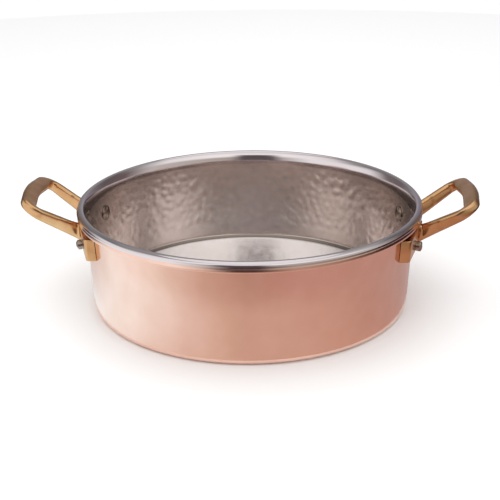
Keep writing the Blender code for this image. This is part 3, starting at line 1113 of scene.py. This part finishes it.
def white_table():
    """A plain white table top, which keeps the pot's shadow."""
    clear_selection()
    bpy.ops.mesh.primitive_plane_add(size=TABLE_SIZE, location=(0.0, 0.0, 0.0))
    ground = bpy.context.object
    ground.name = "studio_floor"
    material, tree = new_material("white table")
    shader = add(tree, "BsdfPrincipled", values={"Base Color": linear("#FAFAFA"), "Roughness": 0.6})
    add(tree, "OutputMaterial", links={"Surface": shader.outputs["BSDF"]})
    ground.data.materials.append(material)


def white_room():
    """Even white light from all round."""
    world = bpy.data.worlds.new("white room")
    bpy.context.scene.world = world
    world.use_nodes = True
    tree = world.node_tree
    tree.nodes.clear()
    light = add(tree, "Background", values={"Color": shade(1.0), "Strength": 1.0})
    add(tree, "OutputWorld", links={"Surface": light.outputs["Background"]})


def round_the_set(tree, place):
    """The share of a turn about the pot, and the height."""
    apart = add(tree, "SeparateXYZ", links={"Vector": place})
    front = add(tree, "Math", {"operation": "MULTIPLY"}, {1: -1.0}, {0: apart.outputs["Y"]})
    turn = add(
        tree,
        "Math",
        {"operation": "ARCTAN2"},
        links={0: apart.outputs["X"], 1: front.outputs[0]},
    )
    share = add(
        tree, "MapRange", values={"From Min": -pi, "From Max": pi}, links={"Value": turn.outputs[0]}
    )
    return share.outputs["Result"], apart.outputs["Z"]


def painted_light(tree, share, along, paintings, changes):
    """Light of the paintings, each of which turns into the next between two places along the screen."""
    bands = [add(tree, "ValToRGB", links={"Fac": share}, stops=painting) for painting in paintings]
    light = bands[0]
    for band, (start, end) in zip(bands[1:], changes):
        turned = add(
            tree,
            "MapRange",
            {"interpolation_type": "SMOOTHSTEP"},
            {"From Min": start, "From Max": end},
            {"Value": along},
        )
        light = add(
            tree,
            "MixRGB",
            links={
                "Fac": turned.outputs["Result"],
                "Color1": light.outputs["Color"],
                "Color2": band.outputs["Color"],
            },
        )
    return light.outputs["Color"]


def hang_screen(screen, material, tree, light):
    """Gives a screen its light. Only reflections show it: it isn't seen itself and casts no shadow."""
    glow = add(tree, "Emission", links={"Color": light})
    add(tree, "OutputMaterial", links={"Surface": glow.outputs["Emission"]})
    screen.data.materials.append(material)
    screen.visible_camera = False
    screen.visible_diffuse = False
    screen.visible_shadow = False


def painted_screen():
    """A round screen about the set: soft boxes left and right of the camera, dusk behind the pot."""
    clear_selection()
    bpy.ops.mesh.primitive_cylinder_add(
        vertices=SCREEN_STEPS, radius=SCREEN_RADIUS, depth=SCREEN_HEIGHT, end_fill_type="NOTHING"
    )
    screen = bpy.context.object
    screen.name = "painted_screen"
    screen.data.transform(Matrix.Translation((0.0, 0.0, SCREEN_HEIGHT / 2)))
    material, tree = new_material("painted screen")
    share, height = round_the_set(tree, add(tree, "TexCoord").outputs["Object"])
    paintings = (LOW_ON_SCREEN, HIGH_ON_SCREEN, TOP_ON_SCREEN)
    light = painted_light(tree, share, height, paintings, (LOW_TO_HIGH, HIGH_TO_TOP))
    off_centre = add(tree, "Math", {"operation": "SUBTRACT"}, {1: GAP_SHARE}, {0: share})
    aside = add(tree, "Math", {"operation": "ABSOLUTE"}, links={0: off_centre.outputs[0]})
    outside = [
        add(
            tree,
            "MapRange",
            {"interpolation_type": "SMOOTHSTEP"},
            {"From Min": start, "From Max": end},
            {"Value": distance},
        )
        for distance, (start, end) in ((aside.outputs[0], GAP_SIDE), (height, GAP_TOP))
    ]
    clear = add(
        tree,
        "Math",
        {"operation": "MAXIMUM"},
        links={0: outside[0].outputs["Result"], 1: outside[1].outputs["Result"]},
    )
    seen = add(
        tree,
        "MixRGB",
        values={"Color1": GAP_LIGHT},
        links={"Fac": clear.outputs[0], "Color2": light},
    )
    hang_screen(screen, material, tree, seen.outputs["Color"])


def table_sheet():
    """A sheet on the table about the pot: cool daylight on its left, warmer and dimmer on its right."""
    profile = ((SHEET_HOLE_RADIUS, SHEET_LIFT), (SCREEN_RADIUS, SHEET_LIFT))
    sheet = turn_profile("table_sheet", profile, SCREEN_STEPS)
    material, tree = new_material("painted table sheet")
    place = add(tree, "TexCoord").outputs["Object"]
    share, _ = round_the_set(tree, place)
    reach = add(tree, "VectorMath", {"operation": "LENGTH"}, links={0: place}).outputs["Value"]
    paintings = (NEAR_ON_TABLE, MIDWAY_ON_TABLE, FAR_ON_TABLE)
    light = painted_light(tree, share, reach, paintings, (NEAR_TO_MIDWAY, MIDWAY_TO_FAR))
    hang_screen(sheet, material, tree, light)


def overhead_box():
    """A soft box over the pot, which lights the table."""
    light = bpy.data.lights.new("soft_box_over_the_pot", "AREA")
    light.shape = "SQUARE"
    light.size = OVERHEAD_BOX_SIZE
    light.energy = OVERHEAD_BOX_POWER
    box = bpy.data.objects.new("soft_box_over_the_pot", light)
    box.visible_glossy = False
    bpy.context.scene.collection.objects.link(box)
    aim = Vector(OVERHEAD_BOX_PLACE) - Vector(OVERHEAD_BOX_AIM)
    turn = aim.to_track_quat("Z", "Y").to_matrix().to_4x4()
    box.matrix_world = Matrix.Translation(OVERHEAD_BOX_PLACE) @ turn


def set_camera():
    """The camera of the photo."""
    turn = Matrix.Rotation(-CAMERA_YAW, 3, "Z")
    aim_at = turn @ Vector((AIM_ASIDE, 0.0, 0.0)) + Vector((0.0, 0.0, AIM_HEIGHT))
    back = turn @ Vector((0.0, -cos(CAMERA_ELEVATION), sin(CAMERA_ELEVATION)))
    right = turn @ Vector((1.0, 0.0, 0.0))
    up = back.cross(right)
    tilted_right = right * cos(CAMERA_ROLL) - up * sin(CAMERA_ROLL)
    tilted_up = right * sin(CAMERA_ROLL) + up * cos(CAMERA_ROLL)
    camera = bpy.data.cameras.new("camera")
    camera.sensor_width = SENSOR_WIDTH
    camera.lens = FOCAL_PIXELS * SENSOR_WIDTH / PHOTO_WIDTH_PIXELS
    holder = bpy.data.objects.new("camera", camera)
    place = Matrix((tilted_right, tilted_up, back)).transposed().to_4x4()
    place.translation = aim_at + back * CAMERA_DISTANCE
    holder.matrix_world = place
    bpy.context.scene.collection.objects.link(holder)
    bpy.context.scene.camera = holder


def main():
    bpy.context.scene.view_settings.view_transform = "Standard"
    set_camera()
    lining = model_lining()
    finish_piece(lining, "lining", "lining", hammered_lining(), brushed_floor(), polished_lip())
    assign_lining_faces(lining)
    finish_piece(model_copper(), "copper_shell", "copper", planished_copper())
    brass = cast_brass()
    handle = model_handle()
    left = copy_placed(handle, "left_brass_handle", Matrix.Rotation(pi, 4, "Z"))
    right = copy_placed(handle, "right_brass_handle", Matrix.Identity(4))
    bpy.data.objects.remove(handle, do_unlink=True)
    finish_piece(right, "right_handle", "handle_brass", brass)
    finish_piece(left, "left_handle", "handle_brass", brass)
    steel = rivet_steel()
    rivet = model_rivet()
    for i, (side_name, handle_angle) in enumerate((("right", 0.0), ("left", pi))):
        front = -1 if side_name == "right" else 1
        for j, (place, side) in enumerate((("front", front), ("back", -front))):
            name = f"{side_name}_{place}_rivet"
            spin = Matrix.Rotation(SPIN_BY_HANDLE * i + SPIN_BY_FOOT * j, 4, "Z")
            struck = copy_placed(rivet, name + "_struck", rivet_frame(handle_angle, side) @ spin)
            smooth(struck, RIVET_CREASE)
            finish_piece(struck, name, "rivet", steel)
    bpy.data.objects.remove(rivet, do_unlink=True)
    white_table()
    white_room()
    painted_screen()
    table_sheet()
    overhead_box()


main()
